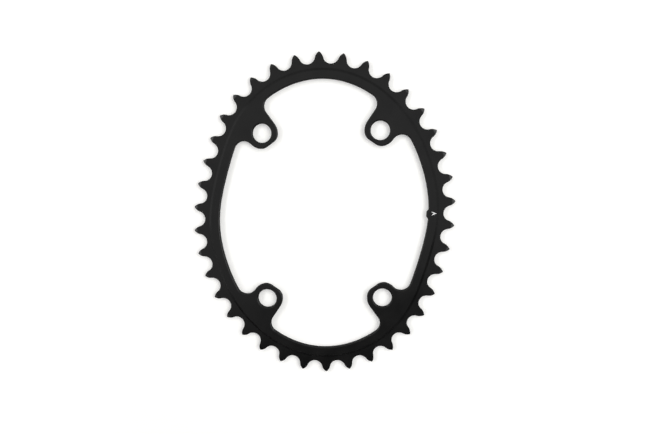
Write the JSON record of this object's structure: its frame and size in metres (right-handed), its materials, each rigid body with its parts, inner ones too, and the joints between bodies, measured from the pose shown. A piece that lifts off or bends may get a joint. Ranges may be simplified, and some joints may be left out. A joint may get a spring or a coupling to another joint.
{
  "type": "bicycle chainring",
  "caption": "Cam-shaped inner chainring: a flat toothed aluminium ring with a stepped outer face, an open centre, a locating nub and bolt tabs for a crank spider.",
  "frame": {"origin": "centre of the bolt circle, on the flat lower (inboard) face", "axes": "+Z out of the raised (outboard) face, +Y along the long way of the oval, +X towards the locating nub"},
  "size_m": [0.1416, 0.1738, 0.0029],
  "materials": {
    "anodised_aluminium": "fine matt, black anodised"
  },
  "bodies": {
    "root": {"chainring": "anodised_aluminium"}
  },
  "joints": []
}
